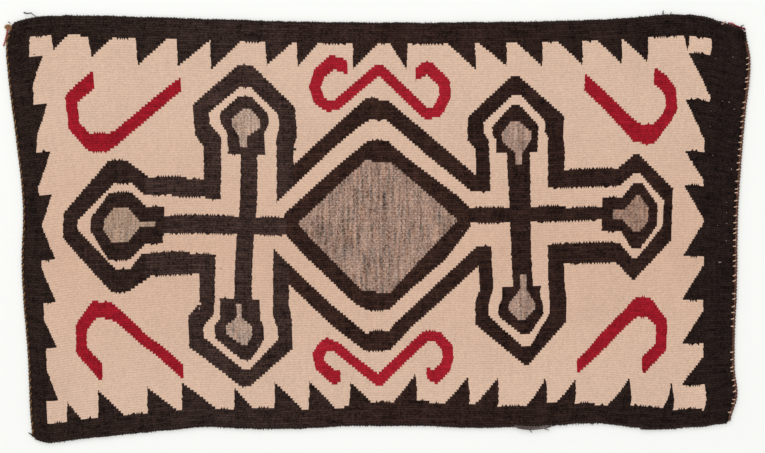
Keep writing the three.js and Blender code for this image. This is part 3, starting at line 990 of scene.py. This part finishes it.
tie_red = yarn_finish("red tie yarn", (128, 26, 36), (92, 18, 28))
tie_pink = yarn_finish("pink tie yarn", (206, 128, 128), (170, 84, 88))
tie_bm = bmesh.new()
spun(tie_bm, eased_route(from_corner(right_corner, [
    (2.4, -0.4, 2.2), (1.0, 2.3, 3.2), (-2.6, 2.8, 4.0), (-5.0, 3.2, 3.4), (-9.0, 5.4, 2.8),
    (-13.8, 7.2, 2.5), (-19.4, 9.6, 2.4), (-26.2, 11.8, 2.2),
]), 6), 1.15, 0.8, 7.5, taper=0.8, finishes=(0, 0))
spun(tie_bm, eased_route(from_corner(right_corner, [
    (-14.5, 8.3, 4.0), (-18.5, 10.7, 4.6), (-22.0, 11.4, 4.0), (-24.2, 10.7, 2.8),
]), 5), 0.75, 0.5, 7.0, finishes=(1, 1))
finished("right_corner_tie", tie_bm, [tie_red, tie_pink], "corner_tie_top_right")

# Loose fibres
# Wisps, ends and fray stand out round the rim where the cords have worn, and pale lint lies caught
# in the dark wool. Each is a single thin fibre or tuft of the rug's own yarns.
Wisp = namedtuple("Wisp", "yarn radius points")
WISPS = [
    Wisp("dark", 1.7, [(-587.7, 359.8), (-579.7, 358.2), (-576.1, 359.4), (-571.4, 356), (-565.2, 352.4)]),
    Wisp("dark", 1.3, [(-613.6, 344.4), (-611.5, 343.4), (-609.7, 341.4)]),
    Wisp("dark", 1.9, [(477.4, 356.6), (477, 360.6), (478.2, 363.4)]),
    Wisp("dark", 1.6, [(490.8, 354.6), (490.2, 358.6), (491.6, 361)]),
    Wisp("pale", 2.2, [(574.6, 340.2), (578, 342.4), (582, 345.8)]),
    Wisp("dark", 1.8, [(606.4, 335.4), (609.4, 338.3), (612.4, 338.9)]),
    Wisp("dark", 2.0, [(-573.4, -343.6), (-576.6, -341.6), (-580, -339.6)]),
    Wisp("grey", 3.0, [(229, -328.6), (244, -330.2), (258, -330.8), (274, -330), (296, -328)]),
    Wisp("grey", 2.8, [(234, -330.4), (248, -333.2), (262, -333.8), (278, -332.2), (290, -330)]),
    Wisp("grey", 1.5, [(254, -334), (257, -337.4), (259.4, -340.2)]),
    Wisp("grey", 1.5, [(280, -333), (284, -334.6), (287.6, -335.8)]),
    Wisp("dark", 2.0, [(439, -333), (452, -333.8), (468, -333.8), (486, -332.6)]),
    Wisp("dark", 1.1, [(314, -324.5), (314.3, -328.4)]), Wisp("dark", 1.1, [(332, -324), (332.5, -327.9)]),
    Wisp("dark", 1.1, [(359, -324), (359.4, -327.9)]),
    Wisp("dark", 1.4, [(-571.4, 290.6), (-568.6, 289.8)]),
]
Lint = namedtuple("Lint", "x y size")
LINT = [
    Lint(593.8, 285.8, 1.0), Lint(564, 282.8, 0.8), Lint(586.9, 210.8, 1.1), Lint(575.8, 212.4, 0.8),
    Lint(595.9, 199, 1.3), Lint(557, 196, 0.7), Lint(556, 171, 0.8), Lint(560, 122, 0.9),
    Lint(591, 99, 1.3), Lint(582.4, 43.9, 0.9), Lint(582.4, 26.9, 0.9), Lint(583.3, 9.1, 1.0),
    Lint(567.9, 5.3, 0.8), Lint(582.4, -19.9, 1.0), Lint(571.8, -55.9, 2.2), Lint(-197.6, -193.9, 1.4),
    Lint(142.4, -3.9, 1.2), Lint(247.4, -0.6, 0.9), Lint(254.1, 1.1, 0.9), Lint(-259.5, -66, 1.3),
    Lint(569, 345, 1.2), Lint(577, 342, 1.3),
]
FUZZ_SPACING = 8.5
dark_fibre = yarn_finish("loose dark fibre", (50, 38, 34), (70, 56, 50))
pale_fibre = yarn_finish("loose pale fibre", (206, 176, 156), (170, 136, 118))
grey_fibre = yarn_finish("loose grey fibre", (118, 104, 98), (84, 70, 66))
lint_finish = yarn_finish("caught lint", (176, 162, 158), (128, 114, 112))
fibre_order = {"dark": 0, "pale": 1, "grey": 2}
loose_bm = bmesh.new()
for wisp in WISPS:
    line = [Vector((x, y, 2.2 + wisp.radius)) for x, y in wisp.points]
    spun(
        loose_bm, eased_route(line, 4), wisp.radius * 0.5, wisp.radius * 0.35, 5.0, sides=5, taper=0.35,
        finishes=(fibre_order[wisp.yarn],) * 2,
    )
for edge in (lambda t: crossing(1 - t, 1), lambda t: crossing(t, 0)):
    fuzz_route = edge_route(edge, SIDE_CORD, 20, 20)
    at_edge, edge_length = route_through(fuzz_route)
    for tuft in range(int(edge_length / FUZZ_SPACING)):
        place, heading = at_edge((tuft + weaver.random()) * FUZZ_SPACING / edge_length)
        outward = Vector((heading.y, -heading.x, 0))
        reach = weaver.uniform(0.8, 2.5)
        bend = heading * weaver.uniform(-2.2, 2.2)
        start = place + outward * 1.2 + Vector((0, 0, weaver.uniform(-0.8, 1.2)))
        line = [start, start + outward * reach * 0.6 + bend * 0.4, start + outward * reach + bend]
        spun(loose_bm, line, 0.8, 0.0, UNTWISTED, plies=1, sides=5, taper=0.5, finishes=(0,))
for fleck in LINT:
    turn = weaver.uniform(0, math.pi)
    half = Vector((math.cos(turn), math.sin(turn), 0)) * fleck.size
    middle = Vector((fleck.x, fleck.y, 4.3))
    line = [middle - half, middle, middle + half]
    spun(
        loose_bm, line, 0.55 * fleck.size, 0.0, UNTWISTED, plies=1, sides=5, taper=0.7, finishes=(3,),
    )
finished("loose_fibres", loose_bm, [dark_fibre, pale_fibre, grey_fibre, lint_finish], None)
